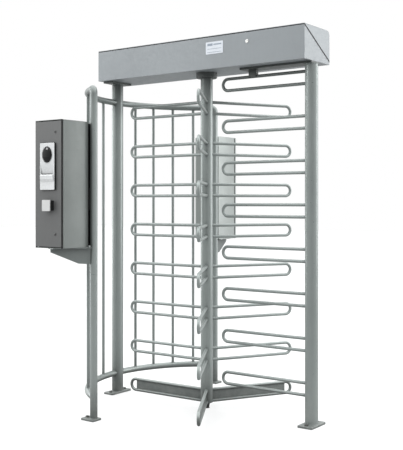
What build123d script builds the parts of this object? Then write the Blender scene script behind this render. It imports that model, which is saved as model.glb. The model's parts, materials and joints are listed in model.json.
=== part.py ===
from build123d import *
import math
import os

# Full-height three-wing turnstile with a comb, a curved bar cage, a mechanism
# header and two card-reader boxes.  Millimetres, +Z up.  The origin is on the
# floor, on the rotor's axis.  -Y is the side a visitor enters from, +X is the
# side with the comb.

# ---------------------------------------------------------------- dimensions
passage_h = 2100.0            # underside of the header above the floor
overall_h = 2300.0            # top of the header
post_r = 38.05                # 76.1 mm structural tube
post_wall = 3.2
left_x, right_x = -742.0, 741.0
plate_t = 12.0                # floor plates and top plates

level = 258.0                 # vertical spacing of the arm levels
level_count = 8
arm_r = 9.5                   # 19 mm tube
arm_wall = 2.0
arm_cc = 71.0                 # the two runs of one hairpin arm
rotor_low = 41.0              # centre of the lowest rotor run
rotor_tip = 617.0             # outer radius of the wings
rotor_rest = 0.9              # the wings rest this many degrees past the portal's plane
wing_angles = (180 + rotor_rest, -60 + rotor_rest, 60 + rotor_rest)
comb_low = 171.0              # centre of the lowest comb run
comb_tip = 116.0              # X of the comb arms' ends
column_r = 38.0
column_wall = 4.0
column_low, column_high = 35.0, 2084.0

cage_r = 741.0                # plan radius of the cage rails
rail_r = 20.0                 # 40 mm tube
cage_post_r = 22.25           # 44.5 mm tube
rail_top_z, rail_bottom_z = 1963.0, 135.0
elbow_r = 30.0
bar_r = 9.5
front_end, rear_end = 148.7, 146.7   # where the front and rear rails' arcs start, degrees from +Y or -Y towards -X
bar_angles = [102.85, 114.3, 125.7, 137.1]

head_x0, head_x1 = -797.0, 767.0
head_y0, head_y1 = -131.0, 172.0
sheet = 3.0
seam = 6.0
hinge_y, hinge_z = 177.5, 2119.0

box_x0 = -584.0               # reader boxes' left faces
box_w, box_d = 208.0, 225.0   # reader box, across and deep
box_z0, box_z1 = 1024.0, 1763.0
door_t = 14.0
door_axis = (6.0, 10.0)       # the door's pivot, across and deep
door_open_gap = 5.0

gear_teeth, pinion_teeth, gear_m = 45, 15, 4.0
disc_r, notch_count, notch_half, notch_depth = 95.0, 12, 9.0, 12.0

os.makedirs("parts", exist_ok=True)


def save(builder, name):
    builder.part.label = name
    export_step(builder.part, "parts/" + name + ".step")


def on_circle(r, deg):
    """Plan point at radius r, counted from +Y towards -X."""
    a = math.radians(deg)
    return (-r * math.sin(a), r * math.cos(a))


def cage_post_xy(side):
    """Plan centre of a cage end post: one elbow beyond the end of its rail."""
    end = front_end if side == 1 else rear_end
    x, y = on_circle(cage_r, end)
    t = math.radians(end)
    return (x - elbow_r * math.cos(t), side * (y - elbow_r * math.sin(t)))


front_post, rear_post = cage_post_xy(1), cage_post_xy(-1)

# ------------------------------------------------------------ portal: posts
with BuildPart() as left_post:
    with BuildSketch(Plane.XY.offset(plate_t)):
        with Locations((left_x, 0)):
            Circle(post_r)
            Circle(post_r - post_wall, mode=Mode.SUBTRACT)
    extrude(amount=passage_h - 2 * plate_t)
save(left_post, "left_post")

with BuildPart() as right_post:
    with BuildSketch(Plane.XY.offset(plate_t)):
        with Locations((right_x, 0)):
            Circle(post_r)
            Circle(post_r - post_wall, mode=Mode.SUBTRACT)
    extrude(amount=passage_h - 2 * plate_t)
save(right_post, "right_post")

with BuildPart() as left_base_plate:
    with BuildSketch():
        with Locations((left_x, 0)):
            RectangleRounded(80, 194, 8)
            Circle(20, mode=Mode.SUBTRACT)
        with Locations((left_x, -70), (left_x, 70)):
            Circle(7, mode=Mode.SUBTRACT)
    extrude(amount=plate_t)
    chamfer(left_base_plate.faces().sort_by(Axis.Z)[-1].outer_wire().edges(), 1.5)
save(left_base_plate, "left_base_plate")

with BuildPart() as right_base_plate:
    with BuildSketch():
        with Locations((right_x, 0)):
            RectangleRounded(96, 172, 8)
        with Locations((right_x, -60), (right_x, 60)):
            Circle(7, mode=Mode.SUBTRACT)
    extrude(amount=plate_t)
    chamfer(right_base_plate.faces().sort_by(Axis.Z)[-1].outer_wire().edges(), 1.5)
save(right_base_plate, "right_base_plate")

# plates between the posts and the header: a short one left, a long one right
bolt_xy = [(left_x, -80), (left_x, 80), (310, -36), (310, 36), (500, -36), (500, 36), (640, -36), (640, 36)]
with BuildPart() as top_plates:
    with BuildSketch(Plane.XY.offset(passage_h - plate_t)):
        with Locations((left_x, 0)):
            RectangleRounded(80, 200, 6)
            Circle(20, mode=Mode.SUBTRACT)
        with Locations((521.5, 0)):
            RectangleRounded(491, 102, 6)
        with Locations(*bolt_xy):
            Circle(5.5, mode=Mode.SUBTRACT)
    extrude(amount=plate_t)
save(top_plates, "top_plates")

# ------------------------------------------------------------ hairpin arms
def hairpin_path(x_start, x_tip, z_low):
    """Wire of one hairpin in the XZ plane, opening towards x_start."""
    turn = arm_cc / 2
    s = 1 if x_tip > x_start else -1
    xc = x_tip - s * (arm_r + turn)
    z_up = z_low + arm_cc
    with BuildLine(Plane.XZ) as path:
        Line((x_start, z_low), (xc, z_low))
        ThreePointArc((xc, z_low), (xc + s * turn, z_low + turn), (xc, z_up))
        Line((xc, z_up), (x_start, z_up))
    return path.wires()[0]


rotor_path = hairpin_path(20, rotor_tip, rotor_low)
with BuildPart() as rotor_hairpin:
    with BuildSketch(Plane((20, 0, rotor_low), x_dir=(0, 1, 0), z_dir=(1, 0, 0))):
        Circle(arm_r)
        Circle(arm_r - arm_wall, mode=Mode.SUBTRACT)
    sweep(path=rotor_path)
    with BuildSketch(Plane.XY):
        Circle(column_r)
    extrude(amount=200, mode=Mode.SUBTRACT)

comb_path = hairpin_path(right_x - 20, comb_tip, comb_low)
with BuildPart() as comb_hairpin:
    with BuildSketch(Plane((right_x - 20, 0, comb_low), x_dir=(0, 1, 0), z_dir=(-1, 0, 0))):
        Circle(arm_r)
        Circle(arm_r - arm_wall, mode=Mode.SUBTRACT)
    sweep(path=comb_path)
    with BuildSketch(Plane.XY):
        with Locations((right_x, 0)):
            Circle(post_r)
    extrude(amount=400, mode=Mode.SUBTRACT)

with BuildPart() as comb_arms:
    with Locations(*[(0, 0, level * k) for k in range(level_count)]):
        add(comb_hairpin.part)
save(comb_arms, "comb_arms")

for wing, angle in zip("abc", wing_angles):
    with BuildPart() as wing_arms:
        with Locations(*[Location((0, 0, level * k), (0, 0, angle)) for k in range(level_count)]):
            add(rotor_hairpin.part)
    save(wing_arms, "rotor_arms_" + wing)

# cradle that hangs the top comb arm from the right top plate
comb_top = comb_low + arm_cc + level * (level_count - 1)
with BuildPart() as comb_hanger:
    with BuildSketch(Plane.XZ.offset(-15)):
        with Locations((346, (comb_top - 4 + passage_h - plate_t) / 2)):
            Rectangle(54, passage_h - plate_t - comb_top + 4)
    extrude(amount=30)
    with BuildSketch(Plane.YZ.offset(300)):
        with Locations((0, comb_top)):
            Circle(arm_r)
    extrude(amount=100, mode=Mode.SUBTRACT)
    fillet(comb_hanger.edges().filter_by(Axis.Z), 4)
save(comb_hanger, "comb_hanger")

# ------------------------------------------------------------ cage
def cage_post_path(side):
    """Vertical run, elbow, ending on the start of the rail's arc."""
    px, py = front_post if side == 1 else rear_post
    ex, ey = on_circle(cage_r, front_end if side == 1 else rear_end)
    tx, ty = (ex - px) / elbow_r, (side * ey - py) / elbow_r
    zc = rail_top_z - elbow_r
    c = math.sqrt(0.5)
    with BuildLine() as path:
        Line((px, py, plate_t), (px, py, zc))
        ThreePointArc((px, py, zc),
                      (px + tx * elbow_r * (1 - c), py + ty * elbow_r * (1 - c), zc + elbow_r * c),
                      (px + tx * elbow_r, py + ty * elbow_r, rail_top_z))
    return path.wires()[0]


for label, side in (("front_cage_post", 1), ("rear_cage_post", -1)):
    cage_path = cage_post_path(side)
    with BuildPart() as cage_post:
        with BuildSketch(Plane((*(front_post if side == 1 else rear_post), plate_t))):
            Circle(cage_post_r)
            Circle(cage_post_r - 2.5, mode=Mode.SUBTRACT)
        sweep(path=cage_path)
    save(cage_post, label)


def rail_path(side, z, start):
    """Arc on the cage circle from the end post to the left post."""
    a, b = start, 90.0
    p = [on_circle(cage_r, d) for d in (a, (a + b) / 2, b)]
    with BuildLine() as path:
        ThreePointArc(*[(q[0], side * q[1], z) for q in p])
    return path.wires()[0]


def rail_plane(side, z, start):
    x, y = on_circle(cage_r, start)
    a = math.radians(start)
    return Plane((x, side * y, z), x_dir=(0, 0, 1), z_dir=(math.cos(a), side * math.sin(a), 0))


with BuildPart() as cage_rails:
    for side, end in ((1, front_end), (-1, rear_end)):
        for z, start in ((rail_top_z, end), (rail_bottom_z, end + 1.5)):
            with BuildSketch(rail_plane(side, z, start)):
                Circle(rail_r)
                Circle(rail_r - 2.5, mode=Mode.SUBTRACT)
            sweep(path=rail_path(side, z, start))
    with BuildSketch(Plane.XY):
        with Locations((left_x, 0)):
            Circle(post_r)
        with Locations(front_post, rear_post):
            Circle(cage_post_r)
    extrude(amount=400, mode=Mode.SUBTRACT)
    with BuildSketch(Plane.XY.offset(1800)):
        with Locations((left_x, 0)):
            Circle(post_r)
    extrude(amount=260, mode=Mode.SUBTRACT)
save(cage_rails, "cage_rails")

with BuildPart() as cage_bars:
    with BuildSketch(Plane.XY.offset(rail_bottom_z)):
        for a in bar_angles:
            with Locations(on_circle(cage_r, a), on_circle(cage_r, 180 - a)):
                Circle(bar_r)
    extrude(amount=rail_top_z - rail_bottom_z)
    for side, end in ((1, front_end), (-1, rear_end)):
        for z in (rail_top_z, rail_bottom_z):
            with BuildSketch(rail_plane(side, z, end)):
                Circle(rail_r)
            sweep(path=rail_path(side, z, end), mode=Mode.SUBTRACT)
save(cage_bars, "cage_bars")

with BuildPart() as cage_feet:
    with BuildSketch():
        for side, (px, py) in ((1, front_post), (-1, rear_post)):
            with Locations((px - 16, py - 6 * side)):
                RectangleRounded(100, 74, 6)
            with Locations((px - 48, py - 4 * side)):
                Circle(6.5, mode=Mode.SUBTRACT)
    extrude(amount=plate_t)
    chamfer(cage_feet.faces().filter_by(Plane.XY).group_by(Axis.Z)[-1].edges().filter_by(GeomType.LINE), 1.5)
save(cage_feet, "cage_feet")

# ------------------------------------------------------------ header shells
front_top = overall_h - sheet - seam + 0.5
slope = (front_top - (hinge_z - 3)) / (head_y1 - head_y0)      # of the seam, from the back up to the front
ends_x = (head_x0, head_x1 - sheet)


def save_welded(builders, name):
    """A node of several sheets that meet edge to edge."""
    whole = Compound([s for b in builders for s in b.part.solids()])
    whole.label = name
    export_step(whole, "parts/" + name + ".step")


# tray floor with the shaft opening, the cable hole over the left post and the bolt holes
with BuildPart() as tray_floor:
    with BuildSketch(Plane.XY.offset(passage_h)):
        with Locations(((head_x0 + head_x1) / 2, (head_y0 + head_y1) / 2)):
            Rectangle(head_x1 - head_x0, head_y1 - head_y0)
        Circle(50, mode=Mode.SUBTRACT)
        with Locations((left_x, 0)):
            Circle(20, mode=Mode.SUBTRACT)
        with Locations(*bolt_xy):
            Circle(5.5, mode=Mode.SUBTRACT)
    extrude(amount=sheet)

# tray front with the keyhole of the cover lock
with BuildPart() as tray_front:
    with BuildSketch(Plane.YZ.offset(head_x0)):
        Polygon((head_y0, passage_h + sheet), (head_y0 + sheet, passage_h + sheet),
                (head_y0 + sheet, front_top - sheet * slope), (head_y0, front_top), align=None)
    extrude(amount=head_x1 - head_x0)
    with BuildSketch(Plane.XZ.offset(-head_y0 + 5)):
        with Locations((384, 2239)):
            Circle(8.1)
    extrude(amount=-12, mode=Mode.SUBTRACT)

with BuildPart() as tray_rear:
    with BuildSketch(Plane.YZ.offset(head_x0)):
        Polygon((head_y1 - sheet, passage_h + sheet), (head_y1, passage_h + sheet),
                (head_y1, hinge_z - 3), (head_y1 - sheet, hinge_z - 3 + sheet * slope), align=None)
    extrude(amount=head_x1 - head_x0)

with BuildPart() as tray_ends:
    for x in ends_x:
        with BuildSketch(Plane.YZ.offset(x)):
            Polygon((head_y0 + sheet, passage_h + sheet), (head_y1 - sheet, passage_h + sheet),
                    (head_y1 - sheet, hinge_z - 3 + sheet * slope), (head_y0 + sheet, front_top - sheet * slope), align=None)
        extrude(amount=sheet)
save_welded([tray_floor, tray_front, tray_rear, tray_ends], "header_base")

# cover: top, rolled rear corner, back and two ends
knuckle_x = [-620.0, -15.0, 590.0]
cover_slope = (overall_h - sheet - hinge_z - 3) / (head_y1 - head_y0)
with BuildPart() as cover_top:
    with BuildSketch(Plane.YZ.offset(head_x0)):
        Polygon((head_y0, overall_h - sheet), (head_y1 - 30, overall_h - sheet), (head_y1 - 30, overall_h),
                (head_y0, overall_h), align=None)
    extrude(amount=head_x1 - head_x0)

with BuildPart() as cover_corner:
    with BuildSketch(Plane.YZ.offset(head_x0)):
        with BuildLine():
            Line((head_y1 - 30, overall_h - sheet), (head_y1 - 30, overall_h))
            ThreePointArc((head_y1 - 30, overall_h),
                          (head_y1 - 30 + 30 * math.sqrt(0.5), overall_h - 30 + 30 * math.sqrt(0.5)),
                          (head_y1, overall_h - 30))
            Line((head_y1, overall_h - 30), (head_y1 - sheet, overall_h - 30))
            ThreePointArc((head_y1 - sheet, overall_h - 30),
                          (head_y1 - 30 + 27 * math.sqrt(0.5), overall_h - 30 + 27 * math.sqrt(0.5)),
                          (head_y1 - 30, overall_h - sheet))
        make_face()
    extrude(amount=head_x1 - head_x0)

with BuildPart() as cover_back:
    with BuildSketch(Plane.YZ.offset(head_x0)):
        Polygon((head_y1 - sheet, hinge_z + 3 + sheet * cover_slope), (head_y1, hinge_z + 3),
                (head_y1, overall_h - 30), (head_y1 - sheet, overall_h - 30), align=None)
    extrude(amount=head_x1 - head_x0)

with BuildPart() as cover_ends:
    for x in ends_x:
        with BuildSketch(Plane.YZ.offset(x)):
            with BuildLine():
                Line((head_y0, overall_h - sheet), (head_y1 - 30, overall_h - sheet))
                ThreePointArc((head_y1 - 30, overall_h - sheet),
                              (head_y1 - 30 + 27 * math.sqrt(0.5), overall_h - 30 + 27 * math.sqrt(0.5)),
                              (head_y1 - sheet, overall_h - 30))
                Line((head_y1 - sheet, overall_h - 30), (head_y1 - sheet, hinge_z + 3 + sheet * cover_slope))
                Line((head_y1 - sheet, hinge_z + 3 + sheet * cover_slope), (head_y0, overall_h - sheet))
            make_face()
        extrude(amount=sheet)

# hinge leaves and their barrels
with BuildPart() as cover_leaves:
    for x in knuckle_x:
        with BuildSketch(Plane.YZ.offset(x + 20.4)):
            with Locations((head_y1 + 1.25, hinge_z + 11)):
                Rectangle(2.5, 22)
            with Locations((hinge_y, hinge_z)):
                Circle(5)
        extrude(amount=19.2)
        with BuildSketch(Plane.YZ.offset(x)):
            with Locations((hinge_y, hinge_z)):
                Circle(2.56)
        extrude(amount=60, mode=Mode.SUBTRACT)
        # the tray's rear and its gap stay clear
        with BuildSketch(Plane.YZ.offset(x)):
            with Locations((head_y1 - 20, hinge_z)):
                Rectangle(40, 100)
        extrude(amount=60, mode=Mode.SUBTRACT)

# catch for the lock's cam: a tab with a foot
with BuildPart() as cover_catch:
    with BuildSketch(Plane.YZ.offset(404)):
        with Locations((-102.5, (2225 + overall_h - sheet) / 2)):
            Rectangle(3, overall_h - sheet - 2225)
        with Locations((-108.5, 2228)):
            Rectangle(15, 6)
    extrude(amount=20)
save_welded([cover_top, cover_corner, cover_back, cover_ends, cover_leaves, cover_catch], "header_cover")

# fixed leaves and the pins of the three cover hinges
with BuildPart() as cover_hinges:
    for x in knuckle_x:
        for x0 in (x, x + 40):
            with BuildSketch(Plane.YZ.offset(x0)):
                with Locations((head_y1 + 1.25, hinge_z - 9)):
                    Rectangle(2.5, 18)
                with Locations((hinge_y, hinge_z)):
                    Circle(5)
                    Circle(2.5, mode=Mode.SUBTRACT)
            extrude(amount=20)
    for x in knuckle_x:
        with BuildSketch(Plane.YZ.offset(x - 2)):
            with Locations((hinge_y, hinge_z)):
                Circle(2.5)
        extrude(amount=64)
save(cover_hinges, "cover_hinges")

with BuildPart() as label_plate:
    with BuildSketch(Plane.XZ.offset(-head_y0)):
        with Locations((150, 2225)):
            RectangleRounded(126, 74, 5)
    extrude(amount=1.5)
save(label_plate, "label_plate")

# bolts from inside the header tray into the threads of the top plates
with BuildPart() as header_bolts:
    with BuildSketch(Plane.XY.offset(passage_h + sheet)):
        with Locations(*bolt_xy):
            RegularPolygon(8.5, 6, major_radius=False)
    extrude(amount=6.4)
    with BuildSketch(Plane.XY.offset(passage_h - plate_t)):
        with Locations(*bolt_xy):
            Circle(5)
    extrude(amount=plate_t + sheet)
save(header_bolts, "header_bolts")

# ------------------------------------------------------------ rotor
with BuildPart() as rotor_column:
    with BuildSketch(Plane.XY.offset(column_low)):
        Circle(column_r)
        Circle(column_r - column_wall, mode=Mode.SUBTRACT)
    extrude(amount=column_high - column_low)
save(rotor_column, "rotor_column")

# infill plates of the lowest arms, from the column outwards
with BuildPart() as rotor_foot_plates:
    for angle in wing_angles:
        ca, sa = math.cos(math.radians(angle)), math.sin(math.radians(angle))
        with BuildSketch(Plane((0, 0, 0), x_dir=(ca, sa, 0), z_dir=(sa, -ca, 0)).offset(-2)):
            with Locations((302, rotor_low + arm_cc / 2)):
                Rectangle(524, arm_cc - 2 * arm_r)
        extrude(amount=4)
    with BuildSketch():
        Circle(column_r)
    extrude(amount=200, mode=Mode.SUBTRACT)
save(rotor_foot_plates, "rotor_foot_plates")

with BuildPart() as rotor_pivot_pin:
    with BuildSketch(Plane.XZ):
        Polygon((0, 4.4), (9, 4.4), (10, 5.4), (10, 11), (17, 11), (22, column_low), (34, column_low),
                (34, 60), (0, 60), align=None)
    revolve(axis=Axis.Z)
save(rotor_pivot_pin, "rotor_pivot_pin")

with BuildPart() as floor_socket:
    with BuildSketch(Plane.XZ):
        Polygon((0, 0), (18, 0), (18, 5), (14, 9.5), (10.06, 9.5), (10.06, 4), (0, 4), align=None)
    revolve(axis=Axis.Z)
save(floor_socket, "floor_socket")

with BuildPart() as rotor_shaft:
    with BuildSketch(Plane.XZ):
        Polygon((0, 2040), (34, 2040), (34, 2084), (24, 2084), (24, 2096), (20, 2096), (20, 2196),
                (18, 2198), (0, 2198), align=None)
    revolve(axis=Axis.Z)
save(rotor_shaft, "rotor_shaft")

with BuildPart() as bearing_inner_ring:
    with BuildSketch(Plane.XZ):
        with Locations((23, 2107)):
            Rectangle(6, 22)
    revolve(axis=Axis.Z)
save(bearing_inner_ring, "bearing_inner_ring")

# outer ring with its two shields
with BuildPart() as bearing_outer_ring:
    with BuildSketch(Plane.XZ):
        Polygon((26.4, 2096), (36, 2096), (36, 2118), (26.4, 2118), (26.4, 2116), (30, 2116),
                (30, 2098), (26.4, 2098), align=None)
    revolve(axis=Axis.Z)
save(bearing_outer_ring, "bearing_outer_ring")

with BuildPart() as bearing_housing:
    with BuildSketch(Plane.XZ):
        Polygon((40.5, 2066), (62, 2066), (66, 2070), (66, passage_h), (49.5, passage_h), (49.5, 2124),
                (30, 2124), (30, 2118), (36, 2118), (36, 2096), (30, 2096), (30, 2090), (40.5, 2090),
                align=None)
    revolve(axis=Axis.Z)
save(bearing_housing, "bearing_housing")

# lock disc: one notch every 30 degrees
with BuildPart() as lock_disc:
    with BuildSketch(Plane.XY.offset(2140)):
        Circle(disc_r)
        Circle(20, mode=Mode.SUBTRACT)
        with PolarLocations(disc_r, notch_count):
            Rectangle(2 * notch_depth, 2 * notch_half, mode=Mode.SUBTRACT)
    extrude(amount=10)
    with BuildSketch(Plane.XY.offset(2126)):
        Circle(30)
        Circle(20, mode=Mode.SUBTRACT)
    extrude(amount=14)
save(lock_disc, "lock_disc")


def gear_points(teeth, module, thin):
    """Involute outline, each flank as short chords; thin is the backlash."""
    rp = module * teeth / 2
    rb = rp * math.cos(math.radians(20))
    ra, rf = rp + 0.9 * module, rp - 1.2 * module
    half = (math.pi * module / 2 - thin) / 2 / rp

    def inv(r):
        a = math.acos(min(1.0, rb / r))
        return math.tan(a) - a

    radii = [rf, max(rb, rf + 0.3) + 0.4, rp, (rp + ra) / 2, ra]
    pts = []
    for i in range(teeth):
        c = 2 * math.pi * i / teeth
        flank = [(r, half + inv(rp) - inv(max(r, rb))) for r in radii]
        pts += [(r * math.cos(c - h), r * math.sin(c - h)) for r, h in flank]
        pts += [(r * math.cos(c + h), r * math.sin(c + h)) for r, h in reversed(flank)]
    return pts


gear_cx = -gear_m * (gear_teeth + pinion_teeth) / 2
with BuildPart() as rotor_gear:
    with BuildSketch(Plane.XY.offset(2165)):
        Polygon(*gear_points(gear_teeth, gear_m, 0.5), align=None)
        Circle(20, mode=Mode.SUBTRACT)
    extrude(amount=12)
    with BuildSketch(Plane.XY.offset(2150)):
        Circle(30)
        Circle(20, mode=Mode.SUBTRACT)
    extrude(amount=15)
    with BuildSketch(Plane.XY.offset(2160)):
        with PolarLocations(56, 6):
            Circle(15)
    extrude(amount=20, mode=Mode.SUBTRACT)
save(rotor_gear, "rotor_gear")

with BuildPart() as damper_pinion:
    with BuildSketch(Plane.XY.offset(2163)):
        with Locations((gear_cx, 0)):
            Polygon(*gear_points(pinion_teeth, gear_m, 0.5), align=None)
    extrude(amount=16)
    with BuildSketch(Plane.XY.offset(2110)):
        with Locations((gear_cx, 0)):
            Circle(6)
    extrude(amount=78)
save(damper_pinion, "damper_pinion")

with BuildPart() as rotary_damper:
    with BuildSketch(Plane.XY.offset(passage_h + sheet)):
        with Locations((gear_cx, 0)):
            RectangleRounded(76, 90, 6)
    extrude(amount=6)
    with BuildSketch(Plane.XY.offset(passage_h + sheet)):
        with Locations((gear_cx, 0)):
            Circle(37)
    extrude(amount=31)
    fillet(rotary_damper.faces().sort_by(Axis.Z)[-1].edges(), 3)
    with BuildSketch(Plane.XY.offset(2108)):
        with Locations((gear_cx, 0)):
            Circle(6.06)
    extrude(amount=40, mode=Mode.SUBTRACT)
save(rotary_damper, "rotary_damper")

# ------------------------------------------------------------ lock pawls
pawl_px, pawl_py = 112.0, 75.0


def pawl_planes(turn, flip, z):
    a = math.radians(turn)
    return Plane((0, 0, z), x_dir=(math.cos(a), math.sin(a), 0), z_dir=(0, 0, flip))


def pawl_centre(turn, flip):
    p = pawl_planes(turn, flip, 0).from_local_coords((pawl_px, pawl_py, 0))
    return (p.X, p.Y)


pawls = (("entry_lock_pawl", 30, 1), ("exit_lock_pawl", 0, -1))
for label, turn, flip in pawls:
    with BuildPart() as pawl:
        with BuildSketch(pawl_planes(turn, flip, 2145).offset(-4)):
            with Locations((112, 34)):
                Rectangle(12, 82)
            with Locations((106, -2)):
                Rectangle(18, 10)
            with Locations((pawl_px, pawl_py)):
                Circle(11)
        extrude(amount=8)
        with BuildSketch(Plane.XY.offset(2110)):
            with Locations(pawl_centre(turn, flip)):
                Circle(4)
        extrude(amount=44)
    save(pawl, label)

with BuildPart() as lock_solenoids:
    with BuildSketch(Plane.XY.offset(passage_h + sheet)):
        with Locations(*[pawl_centre(t, f) for _, t, f in pawls]):
            Circle(22)
    extrude(amount=31)
    fillet(lock_solenoids.faces().filter_by(Plane.XY).group_by(Axis.Z)[-1].edges(), 2)
    with BuildSketch(Plane.XY.offset(2108)):
        with Locations(*[pawl_centre(t, f) for _, t, f in pawls]):
            Circle(4.06)
    extrude(amount=40, mode=Mode.SUBTRACT)
save(lock_solenoids, "lock_solenoids")

# counting sensor: a fork over the lock disc's rim
with BuildPart() as counting_sensor:
    with BuildSketch(Plane.YZ.offset(-10)):
        with Locations((-105, 2131.5)):
            Rectangle(26, 57)
        with Locations((-98, 2125)):
            Rectangle(22, 10)
        with Locations((-98, 2156.5)):
            Rectangle(22, 7)
        with Locations((-94, 2145)):
            Rectangle(12, 16, mode=Mode.SUBTRACT)
    extrude(amount=20)
save(counting_sensor, "counting_sensor")

# controller board on stand-offs, with its main components
with BuildPart() as control_board:
    with BuildSketch(Plane.XY.offset(2121)):
        with Locations((420, 20)):
            Rectangle(240, 160)
    extrude(amount=1.6)
    with BuildSketch(Plane.XY.offset(2122.6)):
        with Locations((340, 60), (340, -20)):
            Rectangle(36, 30)
        with Locations((420, 40)):
            Rectangle(46, 46)
        with Locations((500, 20)):
            Rectangle(22, 130)
        with Locations((440, -40)):
            Circle(9)
    extrude(amount=12)
    with BuildSketch(Plane.XY.offset(passage_h + sheet)):
        with Locations((308, 92), (308, -52), (532, 92), (532, -52)):
            Circle(4)
    extrude(amount=18)
save(control_board, "control_board")

with BuildPart() as power_supply:
    with BuildSketch(Plane.XY.offset(passage_h + sheet)):
        with Locations((-360, 20)):
            Rectangle(200, 110)
    extrude(amount=50)
    with BuildSketch(Plane.XY.offset(passage_h + sheet + 40)):
        with Locations(*[(-430 + 14 * i, 20) for i in range(11)]):
            Rectangle(6, 70)
    extrude(amount=20, mode=Mode.SUBTRACT)
save(power_supply, "power_supply")

# ------------------------------------------------------------ cover lock
with BuildPart() as header_lock:
    with BuildSketch(Plane.XZ.offset(-head_y0)):
        with Locations((384, 2239)):
            Circle(11)
    extrude(amount=2.5)
    fillet(header_lock.faces().sort_by(Axis.Y)[0].edges(), 1)
    with BuildSketch(Plane.XZ.offset(-head_y0)):
        with Locations((384, 2239)):
            Circle(8)
    extrude(amount=-19)
    with BuildSketch(Plane.XZ.offset(112)):
        with Locations((384, 2255)):
            SlotCenterToCenter(32, 14, rotation=90)
    extrude(amount=-4)
    with BuildSketch(Plane.XZ.offset(-head_y0 + 2.5)):
        with Locations((384, 2239)):
            Rectangle(2, 9)
    extrude(amount=-2, mode=Mode.SUBTRACT)
save(header_lock, "header_lock")

# ------------------------------------------------------------ reader units
# Each unit is drawn across (x), deep (y) and up (z) as its user sees it.
front_unit = Plane((box_x0, -903, 0), x_dir=(1, 0, 0), z_dir=(0, 0, 1))
rear_unit = Plane((box_x0 + box_w, 903, 0), x_dir=(-1, 0, 0), z_dir=(0, 0, 1))


def face_plane(unit, deep):
    """Vertical plane at this depth; x across, y up, normal to the user."""
    o = unit.from_local_coords((0, deep, 0))
    return Plane((o.X, o.Y, 0), x_dir=unit.x_dir, z_dir=-unit.y_dir)


def casing_arcs(i):
    """Points of the casing's bowed sides, i inside the outer skin."""
    left = [(2 + i, 19), (-4 + i, (19 + box_d) / 2), (2 + i, box_d - i)]
    right = [(box_w - x, y) for x, y in reversed(left)]
    return left, right


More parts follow.
